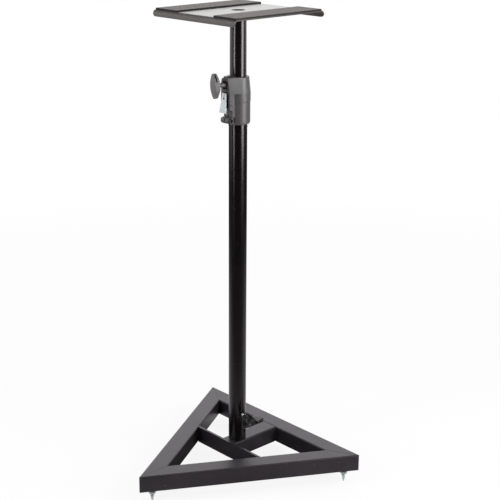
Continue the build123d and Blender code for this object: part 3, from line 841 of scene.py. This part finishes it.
studio = {
    "floorSize": 9.0,
    "floorColour": 0.80,
    "shadowShare": 0.13,     # how much of the floor's tone comes from real light
    "fadeStart": 0.9,
    "fadeEnd": 2.2,
    "ambient": 0.30,
    "mirrorFront": 0.06,     # what gloss sees of the room on the camera's side
    "frontTurn": (-0.35, 0.45),    # how far round the room that reaches
    "mirrorTop": 0.15,       # what it sees high above the back of the room
    "topRise": (0.35, 0.70),
    "mirrorFoot": 0.14,      # metres from the pole, inside which gloss sees the floor in shadow
    "mirrorUnder": 0.05,     # what it sees there
    "mirrorNear": 0.22,      # where gloss sees the floor at full white
    "mirrorFar": 1.8,        # and where it has gone dark
    "mirrorEdge": 0.03,
    "mirrorShade": 0.20,     # further loss on the camera's side
    "shadeReach": (-0.1, 0.5),
}


def seenWays(f):  # seen by the camera or through glass, and seen by gloss
    camera = f.add("ShaderNodeLightPath", out="Is Camera Ray")
    through = f.add("ShaderNodeLightPath", out="Is Transmission Ray")
    mirrored = f.add("ShaderNodeLightPath", out="Is Glossy Ray")
    return f.add("ShaderNodeMath", {"operation": "MAXIMUM"}, [camera, through]), mirrored


def makeFloor():
    half = studio["floorSize"] / 2
    mesh = bpy.data.meshes.new("floor")
    corners = [(-half, -half, 0), (half, -half, 0), (half, half, 0), (-half, half, 0)]
    mesh.from_pydata(corners, [], [(0, 1, 2, 3)])
    obj = bpy.data.objects.new("floor", mesh)
    scene.collection.objects.link(obj)
    f = Finish(bpy.data.materials.new("floorPaper"))
    paper = f.add("ShaderNodeBsdfDiffuse", None, {"Color": colour(studio["floorColour"])})
    direct, mirrored = seenWays(f)
    apart = f.add("ShaderNodeVectorMath", {"operation": "LENGTH"}, [f.place()], out="Value")
    share = f.fit(apart, studio["fadeStart"], studio["fadeEnd"], 1 - studio["shadowShare"], 1.0)
    radial = f.fit(apart, studio["mirrorNear"], studio["mirrorFar"], 1.0, studio["mirrorEdge"])
    foot = f.fit(apart, studio["mirrorFoot"], studio["mirrorNear"], studio["mirrorUnder"], 1.0)
    front = f.dot(f.place(), tuple(-viewLine))
    shade = f.fit(front, *studio["shadeReach"], 1.0, studio["mirrorShade"])
    level = direct + (1 - direct) * radial * shade * foot
    white = f.add("ShaderNodeEmission", None, {"Color": colour(1.0), "Strength": 1.0})
    glow = f.add("ShaderNodeMixShader", None, {"Fac": level, 2: white})    # from black to white
    factor = f.add("ShaderNodeMath", {"operation": "MINIMUM"}, [direct * share + mirrored, 1.0])
    mixed = f.add("ShaderNodeMixShader", None, [factor, paper, glow])
    f.add("ShaderNodeOutputMaterial", None, {"Surface": mixed})
    mesh.materials.append(f.owner)


def makeWorld():
    world = bpy.data.worlds.new("studioWorld")
    scene.world = world
    f = Finish(world)
    where = f.add("ShaderNodeTexCoord", out="Generated")
    away = Vector((viewLine.x, viewLine.y, 0)).normalized()
    ceiling = f.fit(f.dot(where, (0, 0, 1)), *studio["topRise"], 1.0, studio["mirrorTop"])
    around = f.fit(f.dot(where, tuple(away)), *studio["frontTurn"], studio["mirrorFront"], 1.0)
    direct, mirrored = seenWays(f)
    room = mirrored * around * ceiling + (1 - mirrored) * studio["ambient"]
    level = direct + (1 - direct) * room
    white = f.add("ShaderNodeBackground", None, {"Color": colour(1.0), "Strength": 1.0})
    glow = f.add("ShaderNodeMixShader", None, {"Fac": level, 2: white})
    f.add("ShaderNodeOutputWorld", None, {"Surface": glow})


# Lamps stand in a ring: azimuth is in degrees from the camera's side, level is radiance.
uprightLamps = {
    "leftBox": {
        "azimuth": -52, "distance": 1.7, "middle": 1.10, "width": 0.34, "height": 1.6, "level": 8.5,
    },
    "leftWall": {
        "azimuth": -92, "distance": 1.9, "middle": 1.05, "width": 1.3, "height": 1.7, "level": 0.8,
    },
    "rightBox": {
        "azimuth": 59, "distance": 1.7, "middle": 1.12, "width": 0.70, "height": 1.6, "level": 10.0,
    },
    "backPanel": {
        "azimuth": 180, "distance": 2.2, "middle": 1.35, "width": 2.6, "height": 1.5, "level": 1.35,
    },
}
topLamp = {"place": (0.05, 0.05, 2.6), "size": 1.6, "level": 2.2}
shoulderLamp = {
    "azimuth": -80, "distance": 1.25, "middle": 2.15, "width": 1.3, "height": 0.5, "level": 3.0,
    "aim": (0, 0, 0.95),
}


def ringPlace(lamp):
    turn = math.atan2(-viewLine.y, -viewLine.x) + math.radians(lamp["azimuth"])
    place = Vector((math.cos(turn), math.sin(turn), 0)) * lamp["distance"]
    place.z = lamp["middle"]
    return place


def makeLamp(name, place, aim, width, height, level):
    data = bpy.data.lights.new(name, "AREA")
    data.shape = "RECTANGLE"
    data.size = width
    data.size_y = height
    data.energy = level * math.pi * width * height
    obj = bpy.data.objects.new(name, data)
    scene.collection.objects.link(obj)
    obj.location = place
    obj.rotation_euler = (Vector(aim) - Vector(place)).to_track_quat("-Z", "Y").to_euler()
    obj.visible_camera = False


def makeLamps():
    for name, lamp in uprightLamps.items():
        makeLamp(name, ringPlace(lamp), (0, 0, lamp["middle"]),
                 lamp["width"], lamp["height"], lamp["level"])
    makeLamp("topLamp", topLamp["place"], (0, 0, 0),
             topLamp["size"], topLamp["size"], topLamp["level"])
    makeLamp("shoulderLamp", ringPlace(shoulderLamp), shoulderLamp["aim"],
             shoulderLamp["width"], shoulderLamp["height"], shoulderLamp["level"])


makeFloor()
makeWorld()
makeLamps()
print("studio lit")
